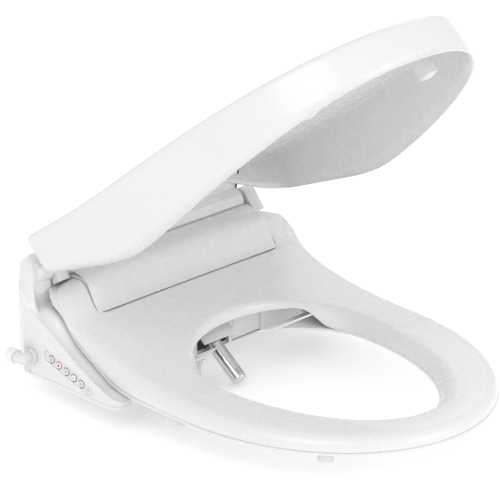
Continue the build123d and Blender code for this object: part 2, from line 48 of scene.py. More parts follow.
slot_of = {part["node"]: part["material_slot"] for part in record["subparts"]}
body_of = {node: body for body, nodes in record["behaviour"]["bodies"].items() for node in nodes}
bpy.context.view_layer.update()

# %% [markdown]
# The camera stands low at the front left, far away with a long lens, so that the ring keeps its true
# proportions. It could be placed by hand, but an aim point, two angles and a distance say plainly where
# it stands, and the lens then follows from how wide a strip it has to take in.

# %% Camera
MM = 0.001
SENSOR = 36.0                                   # mm
AIM = Vector((-66.8, -200.0, 174.2)) * MM
AZIMUTH, ELEVATION = radians(-44.8), radians(21.9)
CAMERA_DISTANCE = 3.0                           # metres
VIEW_WIDTH = 0.547645                           # metres across the view at the aim point
FAR_CLIP = 60.0


def make_camera():
    right = Vector((cos(AZIMUTH), sin(AZIMUTH), 0))
    back = Vector((sin(AZIMUTH) * cos(ELEVATION), -cos(AZIMUTH) * cos(ELEVATION), sin(ELEVATION)))
    up = back.cross(right)
    camera = bpy.data.objects.new("camera", bpy.data.cameras.new("camera"))
    camera.data.sensor_width = SENSOR
    camera.data.lens = SENSOR * CAMERA_DISTANCE / VIEW_WIDTH
    turn = Matrix((right, up, back)).transposed().to_4x4()
    camera.matrix_world = Matrix.Translation(AIM + back * CAMERA_DISTANCE) @ turn
    camera.data.clip_end = FAR_CLIP
    bpy.context.collection.objects.link(camera)
    bpy.context.scene.camera = camera
    return camera


camera = make_camera()
print("camera lens", round(camera.data.lens, 1), "mm")

# %% [markdown]
# White mouldings are shown by their soft shadows. A pale room gives the base light, a large panel above
# and to the left models the curves, a second in front opens the shade under the lid, and a faint third
# lights the far rim. Round panels are used because their reflections in gloss have no corners.

# %% Floor, room and lights
FLOOR_Z, FLOOR_HALF = -0.031, 9.0
ROOM_BRIGHTNESS = 0.86
PANELS = {                                      # place, target and width in metres, power in watts
    "key_panel": ((-1.6, -0.9, 1.9), (0, -0.15, 0.1), 1.6, 13),
    "front_panel": ((0.6, -2.4, 0.9), (0, -0.2, 0.1), 1.4, 10),
    "rim_panel": ((1.8, 0.8, 1.4), (0, -0.2, 0.1), 1.0, 2),
}


def make_floor():
    bm = bmesh.new()
    bmesh.ops.create_grid(bm, x_segments=2, y_segments=2, size=FLOOR_HALF)
    bmesh.ops.translate(bm, verts=bm.verts, vec=(0, 0, FLOOR_Z))
    mesh = bpy.data.meshes.new("floor")
    bm.to_mesh(mesh)
    bm.free()
    floor = bpy.data.objects.new("floor", mesh)
    bpy.context.collection.objects.link(floor)
    return floor


def area_light(name, place, target, size, power):
    lamp = bpy.data.objects.new(name, bpy.data.lights.new(name, "AREA"))
    lamp.data.shape = "DISK"
    lamp.data.size = size
    lamp.data.energy = power
    lamp.location = place
    lamp.rotation_euler = (Vector(target) - Vector(place)).to_track_quat("-Z", "Y").to_euler()
    bpy.context.collection.objects.link(lamp)
    return lamp


floor = make_floor()
world = bpy.data.worlds.new("room")
world.use_nodes = True
sky = world.node_tree.nodes["Background"]
sky.inputs["Color"].default_value = (1, 1, 1, 1)
sky.inputs["Strength"].default_value = ROOM_BRIGHTNESS
bpy.context.scene.world = world
bpy.context.scene.view_settings.view_transform = "Standard"
for name, (place, target, size, power) in PANELS.items():
    area_light(name, place, target, size, power)
print(len(PANELS), "soft panels and a pale room")

# %% [markdown]
# Shader patterns are written as expressions. Number wraps one socket of a shader tree, and adding or
# multiplying two of them adds a Math node. Finish holds one material and the method that adds a node.


# %% Shader helpers
class Number:
    """A value in a shader tree that can be added to, multiplied and subtracted."""

    def __init__(self, finish, socket):
        self.finish, self.socket = finish, socket

    def joined(self, operation, first, second):
        return self.finish.add("ShaderNodeMath", {"operation": operation}, {0: first, 1: second})

    def __add__(self, other):
        return self.joined("ADD", self, other)

    def __mul__(self, other):
        return self.joined("MULTIPLY", self, other)

    def __sub__(self, other):
        return self.joined("SUBTRACT", self, other)

    def __rsub__(self, other):
        return self.joined("SUBTRACT", other, self)

    __radd__, __rmul__ = __add__, __mul__


class Finish:
    """One material and its Principled shader."""

    def __init__(self, name, **sockets):
        self.material = bpy.data.materials.new(name)
        self.material.use_nodes = True
        self.tree = self.material.node_tree
        self.shader = self.tree.nodes["Principled BSDF"]
        for key, entry in sockets.items():
            self.plug(self.shader.inputs[key.replace("_", " ")], entry)

    def plug(self, socket, entry):
        if isinstance(entry, Number):
            self.tree.links.new(entry.socket, socket)
        else:
            socket.default_value = entry

    def add(self, kind, settings=None, inputs=None, output=0):
        node = self.tree.nodes.new(kind)
        for key, setting in (settings or {}).items():
            setattr(node, key, setting)
        for key, entry in (inputs or {}).items():
            self.plug(node.inputs[key], entry)
        return Number(self, node.outputs[output])

    def drive(self, socket, entry):
        self.plug(self.shader.inputs[socket], entry)

    def place(self, scale=(1, 1, 1), turn=(0, 0, 0)):
        """Object coordinates, stretched and turned for a pattern."""
        coords = self.add("ShaderNodeTexCoord", output="Object")
        return self.add("ShaderNodeMapping", inputs={"Vector": coords, "Scale": scale, "Rotation": turn})

    def noise(self, size, detail=2.0, where=None):
        """Soft noise whose patches are about size metres across, from 0 to 1."""
        where = where or self.place()
        return self.add("ShaderNodeTexNoise", inputs={"Vector": where, "Scale": 1 / size, "Detail": detail})

    def mixed(self, mask, first, second):
        """A colour between two, by a mask. Inputs 6 and 7 are the node's colours, output 2 its result."""
        settings = {"data_type": "RGBA"}
        return self.add("ShaderNodeMix", settings, {"Factor": mask, 6: (*first, 1), 7: (*second, 1)}, 2)

    def bump(self, height, strength, distance):
        inputs = {"Height": height, "Strength": strength, "Distance": distance}
        return self.add("ShaderNodeBump", inputs=inputs)


# %% [markdown]
# The mouldings are glossy white ABS. A real one isn't one flat colour: it has a barely warmer and cooler
# drift over a hand's width, a fine orange-peel skin, and faint handling marks that change the gloss.
# An image texture could hold these, but noise on Object coordinates needs no unwrapping and no file.


# %% Moulded plastics
DRIFT_SIZE, HANDLING_SIZE, PEEL_SIZE = 0.09, 0.012, 0.0016      # metres


def moulded(name, colour, roughness, skin=0.05, drift=0.012, coat=0.0):
    finish = Finish(name, Coat_Roughness=0.08)
    cool = [c * (1 - drift) for c in colour]
    warm = [min(1.0, c * (1 + drift)) for c in colour]
    finish.drive("Base Color", finish.mixed(finish.noise(DRIFT_SIZE), cool, warm))
    handling = finish.noise(HANDLING_SIZE, 4.0)
    finish.drive("Roughness", handling * 0.10 + (roughness - 0.05))
    finish.drive("Normal", finish.bump(finish.noise(PEEL_SIZE), skin, 0.0002))
    finish.drive("Coat Weight", coat)
    return finish.material


# %% [markdown]
# The nozzle is a plated tube, the feet and bumpers are rubber, and the board is lacquered laminate. Plating
# shows fine lines along the tube, so its noise is stretched along the axis; rubber is dull and grainy.

# %% Metal, rubber and board


def chrome(name, colour, roughness, along):
    """Plated metal with fine drawing lines; along is the turn that lays Z on the lines."""
    finish = Finish(name, Metallic=1.0)
    lines = finish.noise(0.0012, 3.0, finish.place(scale=(1, 1, 0.03), turn=along))
    finish.drive("Base Color", finish.mixed(lines, [c * 0.86 for c in colour], colour))
    finish.drive("Roughness", lines * 0.12 + (roughness - 0.05))
    finish.drive("Normal", finish.bump(lines, 0.06, 0.0001))
    return finish.material


def rubber(name, colour):
    finish = Finish(name)
    grain = finish.noise(0.0008, 3.0)
    finish.drive("Base Color", finish.mixed(grain, [c * 0.93 for c in colour], colour))
    finish.drive("Roughness", grain * 0.15 + 0.55)
    finish.drive("Normal", finish.bump(grain, 0.25, 0.0002))
    return finish.material


def laminate(name, colour):
    """Circuit board: lacquered green with paler copper runs."""
    finish = Finish(name, Coat_Weight=0.4)
    runs = finish.add("ShaderNodeTexVoronoi", {"distance": "MANHATTAN"},
                      {"Vector": finish.place(), "Scale": 180.0})
    finish.drive("Base Color", finish.mixed(runs, colour, [c * 1.8 + 0.02 for c in colour]))
    finish.drive("Roughness", runs * 0.2 + 0.3)
    return finish.material


# %% [markdown]
# Each slot of the model gets one finish. They are kept in one table, so that the whites of neighbouring
# mouldings can be judged against each other: the bay and the panel are a little greyer than the shell.

# %% Table of finishes
NOZZLE_SLOPE = radians(36.0)                    # below the horizontal
FLOOR_GLOW = 0.22                               # lifts the pale floor towards the room's white
FINISHES = {
    "shell_white": moulded("shell_white", (0.745, 0.755, 0.75), 0.27, coat=0.08),
    "bay_white": moulded("bay_white", (0.66, 0.67, 0.665), 0.34, skin=0.08),
    "panel_grey": moulded("panel_grey", (0.68, 0.69, 0.70), 0.38, skin=0.10),
    "window_dark": moulded("window_dark", (0.55, 0.56, 0.57), 0.12, skin=0.01),
    "button_white": moulded("button_white", (0.80, 0.80, 0.80), 0.30, skin=0.06),
    "circuit_board": laminate("circuit_board", (0.03, 0.16, 0.06)),
    "fitting_grey": moulded("fitting_grey", (0.74, 0.745, 0.75), 0.36, skin=0.10),
    "nut_white": moulded("nut_white", (0.83, 0.835, 0.83), 0.36, skin=0.10),
    "nozzle_chrome": chrome("nozzle_chrome", (0.70, 0.70, 0.70), 0.16, (NOZZLE_SLOPE - pi / 2, 0, 0)),
    "inner_plastic": moulded("inner_plastic", (0.42, 0.43, 0.45), 0.45, skin=0.15, drift=0.03),
    "steel": chrome("steel", (0.62, 0.62, 0.63), 0.28, (0, 0, 0)),
    "motor_metal": chrome("motor_metal", (0.45, 0.46, 0.47), 0.36, (pi / 2, 0, 0)),
    "foil": chrome("foil", (0.78, 0.78, 0.79), 0.30, (0, pi / 2, 0)),
    "rubber_grey": rubber("rubber_grey", (0.74, 0.745, 0.74)),
    # jet_dark is painted shade: the dull rubber finish in near-black, for the shade inside the nozzle's
    # spray holes
    "jet_dark": rubber("jet_dark", (0.05, 0.05, 0.055)),
    "print_grey": moulded("print_grey", (0.10, 0.105, 0.11), 0.5, skin=0.05),
    "print_red": moulded("print_red", (0.62, 0.06, 0.07), 0.5, skin=0.05),
}
floor_paint = moulded("floor_paint", (0.94, 0.94, 0.94), 0.75, skin=0.0)
floor_shader = floor_paint.node_tree.nodes["Principled BSDF"]
floor_shader.inputs["Emission Color"].default_value = (1, 1, 1, 1)
floor_shader.inputs["Emission Strength"].default_value = FLOOR_GLOW
floor.data.materials.append(floor_paint)
for node, cad in frame["nodes"].items():
    cad.data.materials.clear()
    cad.data.materials.append(FINISHES[slot_of[node]])
print(len(FINISHES), "finishes on", len(frame["nodes"]), "nodes")

# %% [markdown]
# A finished piece is one object at the origin with its place in its mesh. It rides on a body, may stand
# for a node, and is shaded smooth except where two faces meet at a sharp angle. Large pieces are drawn in
# millimetres and scaled at the end, because the tools' merge distances are easier to choose that way.


# %% Piece helpers
SHARP = radians(38)
SOFT_SKIN = radians(80)                         # for skins whose edges are all rounded
EASED_ANGLE = radians(28)                       # edges sharper than this are rounded
RECORD_SLOTS = {entry["slot"] for entry in record["materials"]}


def to_piece(bm, name, slot, body, stands_for=(), scale=1.0, sharp=SHARP):
    bmesh.ops.scale(bm, vec=(scale,) * 3, verts=bm.verts)
    mesh = bpy.data.meshes.new(name)
    for face in bm.faces:
        face.smooth = True
    for edge in bm.edges:
        edge.smooth = not (len(edge.link_faces) == 2 and edge.calc_face_angle(0) > sharp)
    bm.to_mesh(mesh)
    bm.free()
    mesh.materials.append(FINISHES[slot])
    obj = bpy.data.objects.new(name, mesh)
    bpy.context.collection.objects.link(obj)
    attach(obj, body)
    slot in RECORD_SLOTS
    if stands_for:
        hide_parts(*stands_for)
    return obj


def finish_with(obj, kind, name, **settings):
    modifier = obj.modifiers.new(name, kind)
    for key, setting in settings.items():
        setattr(modifier, key, setting)


def smoothed(obj, levels):
    finish_with(obj, "SUBSURF", "smooth", levels=levels, render_levels=levels,
                boundary_smooth="PRESERVE_CORNERS")


def walled(obj, thickness):
    finish_with(obj, "SOLIDIFY", "wall", thickness=thickness * MM, offset=-1.0)


def softened(obj, width, angle):
    finish_with(obj, "BEVEL", "edges", width=width * MM, segments=3, limit_method="ANGLE",
                angle_limit=radians(angle))


def rounded(bm, edges, radius, segments):
    bmesh.ops.bevel(bm, geom=edges, offset=radius, affect="EDGES", segments=segments, profile=0.5,
                    material=-1, clamp_overlap=True)


def eased(node, width, segments=2):
    """A copy of a node with its coplanar triangles joined and its edges rounded by width mm."""
    bm = bmesh.new()
    bm.from_mesh(frame["nodes"][node].data)
    bmesh.ops.remove_doubles(bm, verts=bm.verts, dist=1e-6)
    bmesh.ops.dissolve_limit(bm, angle_limit=radians(1.0), verts=bm.verts, edges=bm.edges)
    edges = [e for e in bm.edges if len(e.link_faces) == 2 and e.calc_face_angle(0) > EASED_ANGLE]
    rounded(bm, edges, width * MM, segments)
    return to_piece(bm, node + "_finished", slot_of[node], body_of[node], (node,))


# %% [markdown]
# The mouldings are sheets over a plan: a height that changes smoothly from front to back, laid over a grid
# of quads. A spline drawn by hand could do it too, but a curve through a few measured points, with no
# overshoot between them, is easy to correct when a height turns out wrong.


# %% Sheets and curves
JOIN = 0.05                                     # mm, corners nearer than this are merged


def curve_through(points):
    """A smooth function through (place, value) points, with no overshoot between them."""
    pts = sorted(points)
    spans = [(b[1] - a[1]) / (b[0] - a[0]) for a, b in zip(pts, pts[1:])]
    slopes = [spans[0]] + [0 if p * q <= 0 else 2 * p * q / (p + q) for p, q in zip(spans, spans[1:])]
    slopes.append(spans[-1])

    def value(place):
        place = min(max(place, pts[0][0]), pts[-1][0])
        k = max(i for i in range(len(pts) - 1) if pts[i][0] <= place)
        width = pts[k + 1][0] - pts[k][0]
        t = (place - pts[k][0]) / width
        ease = t * t * (3 - 2 * t)
        lead = width * t * (1 - t)
        return (pts[k][1] * (1 - ease) + pts[k + 1][1] * ease
                + lead * ((1 - t) * slopes[k] - t * slopes[k + 1]))

    return value


def sheet(bm, across, along, place):
    """A grid of quads whose corners go to place(u, v), with u and v from 0 to 1."""
    made = bmesh.ops.create_grid(bm, x_segments=across, y_segments=along, size=0.5)["verts"]
    for vert in made:
        vert.co = place(vert.co.x + 0.5, vert.co.y + 0.5)


def face_up(bm):
    """Makes the faces of an open sheet agree, with its outer side on top."""
    bmesh.ops.recalc_face_normals(bm, faces=bm.faces)
    if sum(face.normal.z * face.calc_area() for face in bm.faces) < 0:
        bmesh.ops.reverse_faces(bm, faces=bm.faces)


def mirrored(bm):
    """Adds the other side of a half shape and joins it along the middle."""
    bmesh.ops.remove_doubles(bm, verts=bm.verts, dist=JOIN)
    geom = bm.verts[:] + bm.edges[:] + bm.faces[:]
    bmesh.ops.mirror(bm, geom=geom, axis="X", merge_dist=JOIN)
    bmesh.ops.remove_doubles(bm, verts=bm.verts, dist=JOIN)
    face_up(bm)


def free_edges(bm):
    return [edge for edge in bm.edges if edge.is_boundary]


def skirt(bm, edges, foot):
    """Extrudes some of a sheet's free edges down to the height foot(corner)."""
    made = bmesh.ops.extrude_edge_only(bm, edges=edges)
    for vert in (g for g in made["geom"] if isinstance(g, bmesh.types.BMVert)):
        vert.co.z = foot(vert.co)
    face_up(bm)


def blend(first, second, share):
    return first + (second - first) * share


def ease(value):
    """0 to 1 with a soft start and a soft end."""
    value = min(max(value, 0.0), 1.0)
    return value * value * (3 - 2 * value)


# %% [markdown]
# The seat is one smooth skin: a ring with a large soft outer edge, a dished top that falls to the
# opening, and a deck that climbs to two ears beside the hinge cover. It could be cut from a block, but
# the edges would then have one radius all round. Sheets that run from the opening to the outline carry
# their own round lip and outer edge, and half a ring is drawn and mirrored. First come the plan lines.

# %% Seat plan
SEAT_HALF, SEAT_MID, SEAT_REACH = 190.0, -229.0, 226.0
HOLE_HALF, HOLE_MID, HOLE_FRONT, HOLE_REAR = 124.0, -205.0, 202.0, 106.0
NOTCH_X, NOTCH_Y, SEAT_BACK = 143.9, -37.5, 18.0
EAR_HALF, EAR_FRONT_HALF, EAR_FRONT_Y = 185.5, 186.0, -30.0
EAR_CORNER, EAR_CORNER_Y = 24.0, -14.0          # plan rounding of an ear's rear outer corner
CORNER_SHARE = 1 / 6                            # share of the opening's half that faces the notch


def opening_point(v):
    turn = pi / 2 - pi * v
    reach = HOLE_REAR if v <= 0.5 else HOLE_FRONT
    return Vector((HOLE_HALF * cos(turn), HOLE_MID + reach * sin(turn)))


def seat_side_x(y):
    if y > EAR_CORNER_Y:
        turn = (y - EAR_CORNER_Y) / (SEAT_BACK - EAR_CORNER_Y)
        return EAR_HALF - EAR_CORNER * (1 - max(1 - turn * turn, 0.0) ** 0.5)
    if y > EAR_FRONT_Y:
        return blend(EAR_FRONT_HALF, EAR_HALF, (y - EAR_FRONT_Y) / (EAR_CORNER_Y - EAR_FRONT_Y))
    return blend(SEAT_HALF, EAR_FRONT_HALF, ease((y - SEAT_MID) / (EAR_FRONT_Y - SEAT_MID)) ** 1.3)


def outline_point(v):
    if v <= 0.5:
        y = blend(NOTCH_Y, SEAT_MID, (v - CORNER_SHARE) / (0.5 - CORNER_SHARE))
        return Vector((seat_side_x(y), y))
    turn = pi * (v - 0.5)
    return Vector((SEAT_HALF * cos(turn), SEAT_MID - SEAT_REACH * sin(turn)))


def middle_point(v):
    """The line that runs from the notch's corner round the middle of the ring."""
    outer, inner = outline_point(v), opening_point(v)
    share = ease((v - CORNER_SHARE) / 0.12)
    near_corner = outer + Vector((NOTCH_X - 188.0, 0))
    return near_corner.lerp(outer.lerp(inner, 0.5), share)


# %% [markdown]
# The heights come next. The deck is one curve from the hinge to the tip; the side of an ear and the foot
# of the skin have their own curves. The deck also falls a little to the sides and over the ears.

# %% Seat heights
seat_height = curve_through([(18, 98), (8, 104), (-2, 105), (-12, 99), (-20, 90), (-28, 80), (-37.5, 73),
                             (-60, 63), (-99, 50.5), (-140, 42), (-205, 35), (-300, 33), (-455, 31)])
ear_edge = curve_through([(18, 98), (8, 104), (0, 106.5), (-8, 106), (-14, 103), (-18, 97.5), (-23, 88),
                          (-28, 79.5), (-37.5, 73)])
seat_foot = curve_through([(18, 80), (0, 80), (-10, 78), (-20, 73), (-30, 63), (-40, 53), (-53, 44),
                           (-69, 36), (-86, 27), (-102, 19), (-118, 15), (-140, 12.5), (-455, 12.5)])
PARTING = 3.3                                   # the bottom plate's edge shows below the skin
RING_RADIUS, EAR_RADIUS, LIP_RADIUS = 16.0, 22.0, 9.0
FLAT_SHARE, LIP_SHARE = 0.25, 0.57              # shares of the strips that are flat deck and round lip
FUNNEL, FUNNEL_START_Y = 9.0, -128.0            # lean of the opening's wall, and where it begins
REAR_LIP_FOOT = 38.2                            # height of the wall's foot over the nozzle bay
DECK_FALL, EAR_FALL, DISH = 4.5, 5.0, 2.0       # mm, how far the deck falls at its edges and in the dish


def seat_point(plan, dish=0.0):
    """The point of the deck over a point of the plan."""
    side_fall = DECK_FALL * (abs(plan.x) / SEAT_HALF) ** 4 * ease((plan.y + 200) / 150)
    ear_fall = EAR_FALL * ease((abs(plan.x) - NOTCH_X) / 40) * ease((plan.y + 60) / 40)
    deck = blend(ear_edge(plan.y), seat_height(plan.y), ease((abs(plan.x) - NOTCH_X) / 22))
    if abs(plan.x) < NOTCH_X - 1 or plan.y < NOTCH_Y - 1:
        deck = seat_height(plan.y)
    return Vector((plan.x, plan.y, deck - side_fall - ear_fall - dish))


# %% [markdown]
# Three strips make half a seat: from the opening to the middle line, from there to the outline, and the
# ear. In each, u runs across the strip and v along it, and v ends at the tip or at the notch's corner.


# %% Seat strips
def edge_section(start, end, u, radius):
    """From a plan point on the deck to the outline, with a quarter round down to the skin's foot."""
    inward = (start - end).normalized() * min(radius, (start - end).length * 0.8)
    if u <= FLAT_SHARE:
        return seat_point(start.lerp(end + inward, u / FLAT_SHARE))
    turn = pi / 2 * (u - FLAT_SHARE) / (1 - FLAT_SHARE)
    point = seat_point(end + inward * (1 - sin(turn)))
    point.z = blend(seat_foot(end.y) + PARTING, point.z, cos(turn) ** 0.85)
    return point


def dish_at(u, v):
    """How far the ring's top is dished, none beside the hinge cover and at the middle line."""
    return DISH * (1 - u) * ease((v - 0.1) / 0.3)


def inner_strip(u, v):
    """From the foot of the opening's wall up over its round lip and out to the middle line."""
    lip = opening_point(v)
    far = Vector((NOTCH_X * v / CORNER_SHARE, NOTCH_Y)) if v <= CORNER_SHARE + 1e-6 else middle_point(v)
    share = ease((FUNNEL_START_Y - lip.y) / 30)
    centre = Vector((0, HOLE_MID))
    foot = lip.lerp(centre, share * FUNNEL / (lip - centre).length)
    deck = lip.lerp(far, min(LIP_RADIUS / (far - lip).length, 0.6))
    if u > LIP_SHARE:
        return seat_point(deck.lerp(far, (u - LIP_SHARE) / (1 - LIP_SHARE)), dish_at(u, v))
    low = Vector((*foot, blend(REAR_LIP_FOOT, seat_foot(lip.y) + PARTING, share)))
    top = seat_point(deck, dish_at(LIP_SHARE, v))
    corner = Vector((*lip, top.z - 0.5))
    t = u / LIP_SHARE
    return low.lerp(corner, t).lerp(corner.lerp(top, t), t)


def outer_strip(u, v):
    v = blend(CORNER_SHARE, 1.0, v)
    middle = middle_point(v) if v > CORNER_SHARE + 1e-6 else Vector((NOTCH_X, NOTCH_Y))
    end = outline_point(v)
    return edge_section(middle, end, u, blend(EAR_RADIUS, RING_RADIUS, ease((-40 - end.y) / 80)))


def ear(u, v):
    y = blend(SEAT_BACK, NOTCH_Y, v)
    return edge_section(Vector((NOTCH_X, y)), Vector((seat_side_x(y), y)), u, EAR_RADIUS)


# %% [markdown]
# The strips are joined and mirrored, the sides of the notch and the back are drawn down as walls, and the
# smooth sheet then gets its wall. Smoothing before the wall keeps the wall's thickness even.

# %% Seat skin
SEAT_WALL, NOTCH_ROUND, NOTCH_FOOT = 2.6, 1.6, 66.0


def seat_wall_foot(corner):
    foot = seat_foot(corner.y) + PARTING if corner.y > NOTCH_Y + 1 else NOTCH_FOOT
    return min(corner.z - 0.5, foot)


def make_seat():
    bm = bmesh.new()
    sheet(bm, 7, 24, inner_strip)
    sheet(bm, 8, 20, outer_strip)
    sheet(bm, 8, 6, ear)
    mirrored(bm)
    on_notch = [e for e in free_edges(bm) if all(
        abs(v.co.x) < NOTCH_X + 0.5 and v.co.y > NOTCH_Y - 0.5 for v in e.verts)]
    on_back = [e for e in free_edges(bm) if all(v.co.y > SEAT_BACK - 0.5 for v in e.verts)]
    skirt(bm, on_notch + [e for e in on_back if e not in on_notch], seat_wall_foot)
    rounded(bm, on_notch, NOTCH_ROUND, 2)
    obj = to_piece(bm, "seat_skin", "shell_white", "seat", ("seat_top",), MM, SOFT_SKIN)
    smoothed(obj, 2)
    walled(obj, SEAT_WALL)
    return obj


seat_skin = make_seat()
print("seat skin with", len(seat_skin.data.polygons), "control faces")

# %% [markdown]
# The lid is a deep shell. Seen from above it is straight at the sides and a full superellipse at the
# nose; its skirt is shallow at the front and drops in an S towards the hinge. Its lines are simplest when
# it lies shut, so it is drawn closed and then turned about the hinge line to its rest angle.

# %% Lid lines
LID_HALF, LID_SIDE_END, LID_TIP, LID_BACK = 196.0, -188.0, -480.0, 7.0
LID_POWER = 2.25
LID_OPEN = radians(46.7)
HINGE = Vector((0, 33.0, 115.0))
HEEL_HALF = 138.5                               # half the length of the heel under the lid's back
REAR_FOOT_MIDDLE, REAR_FOOT_SIDE = 134.0, 109.0 # rear wall's lower edge, behind the heel and beside it
SIDE_SHARE = 0.36                               # share of the rows that lie beside the straight sides
SPINE_END = LID_TIP + 110                       # where the middle line of the nose's fan stops
LID_CROWN, LID_EDGE_FALL = 4.0, 3.0
lid_height = curve_through([(7, 150), (-50, 137), (-100, 126), (-200, 109), (-300, 94), (-400, 79),
                            (-480, 66)])
lid_foot = curve_through([(7, 98), (-60, 68), (-105, 47), (-128, 37.5), (-152, 30.5), (-200, 25),
                          (-280, 21.5), (-380, 20), (-480, 21)])


def lid_outline(v):
    if v <= SIDE_SHARE:
        return Vector((LID_HALF, blend(LID_BACK, LID_SIDE_END, v / SIDE_SHARE)))
    turn = pi / 2 * (v - SIDE_SHARE) / (1 - SIDE_SHARE)
    across = max(cos(turn), 0.0) ** (2 / LID_POWER)
    forward = sin(turn) ** (2 / LID_POWER)
    return Vector((LID_HALF * across, blend(LID_SIDE_END, LID_TIP, forward)))


def lid_top(u, v):
    """From the middle line at u = 0 out to the edge at u = 1; in the nose the rows fan out."""
    edge = lid_outline(v)
    share = sin(pi / 2 * (v - SIDE_SHARE) / (1 - SIDE_SHARE))
    spine_y = edge.y if v <= SIDE_SHARE else blend(LID_SIDE_END, SPINE_END, share)
    plan = Vector((0, spine_y)).lerp(edge, u)
    crown = LID_CROWN * (1 - (plan.x / LID_HALF) ** 2)
    return Vector((plan.x, plan.y, lid_height(plan.y) - 1.0 + crown - LID_EDGE_FALL * u ** 6))


def lid_wall_foot(corner):
    if corner.y > LID_BACK - 1 and abs(corner.x) < LID_HALF - 2:
        return REAR_FOOT_MIDDLE if abs(corner.x) < HEEL_HALF - 4 else REAR_FOOT_SIDE
    return lid_foot(corner.y)


# %% [markdown]
# The lid's top sheet gets walls all round, and the edge between them is rounded before the whole is
# smoothed, so that the rim turns over softly while the foot stays a clean line.

# %% Lid shell
LID_WALL, LID_ROUND = 3.2, 7.0


def open_up(bm):
    """Turns what was drawn closed about the hinge line to the lid's rest angle."""
    bmesh.ops.rotate(bm, verts=bm.verts, cent=HINGE, matrix=Matrix.Rotation(-LID_OPEN, 3, "X"))


def make_lid():
    bm = bmesh.new()
    sheet(bm, 5, 22, lid_top)
    mirrored(bm)
    rim = free_edges(bm)
    skirt(bm, rim, lid_wall_foot)
    rounded(bm, rim, LID_ROUND, 3)
    open_up(bm)
    obj = to_piece(bm, "lid_skin", "shell_white", "lid", ("lid_shell",), MM, SOFT_SKIN)
    smoothed(obj, 2)
    walled(obj, LID_WALL)
    return obj


lid_skin = make_lid()
print("lid shell with", len(lid_skin.data.polygons), "control faces")

# %% [markdown]
# The hinge cover is one long S-shaped moulding between the ears. Its profile is a smooth line from the
# lip on the seat's deck up over the hinge, carried along the whole width. A swept curve would do as
# well; the same sheet as for the seat is used, so that both surfaces meet in the same way.

# %% Hinge cover
COVER_HALF, COVER_WALL = 143.0, 2.6
COVER_FRONT, COVER_BACK = -35.6, 18.0
cover_line = curve_through([(COVER_FRONT, 72.6), (-32, 75), (-28, 80.5), (-23, 90), (-18, 99.5), (-14, 105),
                            (-8, 109), (0, 111), (COVER_BACK, 113.0)])


def cover_place(u, v):
    y = blend(COVER_FRONT, COVER_BACK, v)
    return Vector((blend(-COVER_HALF, COVER_HALF, u), y, cover_line(y)))


def make_hinge_cover():
    bm = bmesh.new()
    sheet(bm, 12, 22, cover_place)
    face_up(bm)
    obj = to_piece(bm, "hinge_cover_skin", "shell_white", "root", ("hinge_cover",), MM)
    walled(obj, COVER_WALL)
    softened(obj, 0.8, 40)
    return obj


hinge_cover = make_hinge_cover()
print("hinge cover with", len(hinge_cover.data.polygons), "faces")

# %% [markdown]
# The left wing's top is a hollow ramp behind a bright crest. It climbs from the tip to a tower round the
# hinge line. A sculpted block could be subdivided and pulled, but here the ramp, the crest and the tower
# are heights over the plan that blend into each other, laid as one sheet just above the casing.

# %% Wing lines
WING_TIP, WING_MIDDLE, WING_REAR = -129.6, -10.0, 50.6
TOWER_RADIUS = 17.6
EDGE_WIDTH = 2.4                                # mm of rolled edge outside the crest
RAMP_WIDTH, HOLLOW = 15.0, 1.6                  # fall from the crest to the ramp, and its hollow
LOWEST = 5.0
wing_wall = curve_through([(-130, 198.3), (-126, 203.5), (-119, 206.1), (24, 206.1), (52, 188.1)])
wing_inner = curve_through([(-130, 183), (-114, 168.3), (-80, 165.6), (52, 165.6)])
wing_crest = curve_through([(-130, 10.5), (-118, 14), (-71, 33), (-17, 64), (0, 73), (21, 87), (34, 101),
                            (52, 104)])
wing_floor = curve_through([(-130, 9.2), (-118, 12.3), (-102, 16), (-86, 23.5), (-69, 32), (-53, 40),
                            (-40, 49), (-30, 59), (-20, 69), (-10, 75.5), (0, 78), (18, 79)])
section_fall = curve_through([(0, 9), (0.3, 2.6), (1.2, 0.7), (2.4, 0)])


def tower_top(y):
    """A round front over the hinge line, and a flatter back."""
    reach = y - HINGE.y
    arch = max(TOWER_RADIUS ** 2 - reach ** 2, 0.0) ** 0.5
    return HINGE.z + (arch if reach < 0 else blend(arch, TOWER_RADIUS, 0.55))


def wing_height(x, y):
    across = wing_wall(y) + x
    crest = wing_crest(y)
    edge = crest - section_fall(max(across, 0.0))
    inward = min(max((across - EDGE_WIDTH) / RAMP_WIDTH, 0.0), 1.0)
    hollow = blend(crest, wing_floor(y), inward ** 1.6) - HOLLOW * sin(pi * inward)
    ramp = edge if across <= EDGE_WIDTH else hollow
    inner = ease((across - 4) / 13)
    climb = ease((y - blend(-4.0, 17.0, inner)) / blend(32.0, 5.0, inner))
    tower = blend(edge, tower_top(y), ease((across - 2) / 13))
    return max(blend(ramp, tower, climb), LOWEST)


# %% [markdown]
# The rows of the sheet lie closer near the tower, where the height changes fast, and its columns lie closer
# near the crest. Its inner and rear edges are drawn down into the casing, so no gap shows there.


# %% Wing and hinge tower
def wing_place(u, v):
    first, last = (WING_TIP, WING_MIDDLE) if v < 0.5 else (WING_MIDDLE, WING_REAR)
    y = blend(first, last, v / 0.5 if v < 0.5 else (v - 0.5) / 0.5)
    wall, inner = wing_wall(y), wing_inner(y)
    x = (wall - inner) * (u ** 2.2) - wall
    return Vector((x, y, wing_height(x, y)))


def wing_wall_foot(corner):
    return min(corner.z - 0.2, 48.0 if corner.y > 0 else max(wing_floor(corner.y) - 16, LOWEST - 0.1))


def on_wing_wall(edge):
    return all(abs(v.co.x + wing_wall(v.co.y)) < 0.01 for v in edge.verts)


